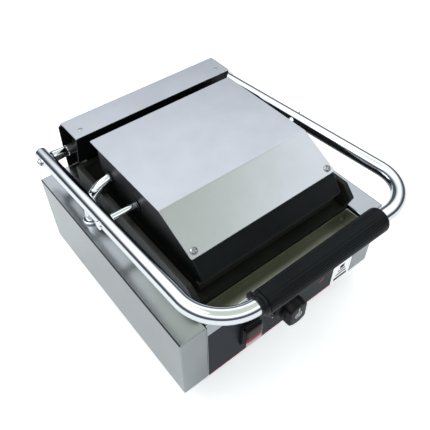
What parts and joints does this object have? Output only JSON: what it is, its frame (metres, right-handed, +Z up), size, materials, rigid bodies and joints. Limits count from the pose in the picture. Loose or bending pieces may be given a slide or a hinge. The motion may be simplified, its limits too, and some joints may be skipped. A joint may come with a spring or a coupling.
{
  "type": "panini press",
  "caption": "Countertop contact grill with a floating lid on a chromed loop handle, over a ribbed plate with side rims and a grease trough.",
  "frame": {"origin": "on the table under the middle of the whole grill", "axes": "+Z up, the control panel and the grip face -Y, +X to the right of a person standing in front"},
  "size_m": [0.291, 0.346, 0.2078],
  "materials": {
    "stainless": "satin brushed stainless sheet",
    "inner_steel": "plain zinc-plated sheet",
    "chrome": "bright chrome plate",
    "black_enamel": "semi-matt black stove enamel",
    "cast_iron": "black enamelled cast iron",
    "black_plastic": "moulded heat-resistant plastic",
    "grip_plastic": "moulded phenolic, finely fluted",
    "rubber": "moulded rubber",
    "decal": "printed polyester overlay",
    "label": "blank white sticker",
    "rocker_red": "translucent red, illuminated",
    "clear_boot": "clear flexible splash cover",
    "heater_steel": "oxidised heater sheath",
    "porcelain": "glazed terminal block",
    "wool": "mineral wool",
    "sleeve": "glass-fibre wire sleeve",
    "bronze": "sintered bronze",
    "white_print": "white insert"
  },
  "bodies": {
    "root": {"left_cheek": "stainless", "right_cheek": "stainless", "front_panel": "stainless", "control_decal": "decal", "blank_label": "label", "rear_panel": "stainless", "base_pan": "inner_steel", "feet": "rubber", "foot_screws": "inner_steel", "cable_gland": "black_plastic", "terminal_block": "porcelain", "wire_loom": "sleeve", "capillary": "inner_steel", "thermostat_body": "inner_steel", "thermostat_bulb": "inner_steel", "switch_body": "black_plastic", "switch_boot": "clear_boot", "lower_plate": "cast_iron", "plate_rails": "inner_steel", "lower_heating_element": "heater_steel", "lower_clamp_plate": "inner_steel", "lower_insulation": "wool", "grease_trough": "stainless", "trough_screw": "inner_steel", "hinge_housing": "black_enamel", "hinge_cover": "stainless", "cover_screws": "inner_steel", "hinge_bracket_left": "black_enamel", "hinge_bracket_right": "black_enamel", "balance_spring_left": "inner_steel", "balance_spring_right": "inner_steel", "shaft_bushes": "bronze", "bracket_bolts": "inner_steel", "lid_conduit": "chrome", "conduit_ring": "chrome"},
    "handle": {"handle_tube": "chrome", "handle_grip": "grip_plastic", "grip_collar": "black_plastic", "pivot_shaft": "inner_steel", "tube_plugs": "black_plastic", "pivot_spacers": "chrome", "pivot_bolts": "chrome", "lid_rod_left": "chrome", "lid_rod_right": "chrome"},
    "lid": {"lid_cover": "stainless", "lid_frame": "black_enamel", "upper_plate": "cast_iron", "upper_heating_element": "heater_steel", "upper_clamp_plate": "inner_steel", "upper_insulation": "wool", "rod_bushes": "black_plastic", "lid_screws": "chrome", "conduit_gland": "black_plastic"},
    "knob": {"thermostat_knob": "black_plastic", "knob_pointer": "white_print", "thermostat_shaft": "inner_steel"},
    "rocker": {"switch_rocker": "rocker_red"}
  },
  "joints": [
    {"name": "handle_lift", "type": "hinge", "parent": "root", "child": "handle", "pos_m": [0, 0.153, 0.16566], "axis": [-1, 0, 0], "range_deg": [0, 60], "deforming": ["lid_conduit"]},
    {"name": "lid_float", "type": "hinge", "parent": "handle", "child": "lid", "pos_m": [0, 0.0175, 0.1765], "axis": [-1, 0, 0], "range_deg": [-2.5, 2.5], "deforming": ["lid_conduit"]},
    {"name": "knob_turn", "type": "hinge", "parent": "root", "child": "knob", "pos_m": [-0.004, -0.121, 0.0715], "axis": [0, 1, 0], "range_deg": [0, 280]},
    {"name": "switch_rock", "type": "hinge", "parent": "root", "child": "rocker", "pos_m": [-0.056, -0.1214, 0.067], "axis": [1, 0, 0], "range_deg": [0, 20]}
  ]
}
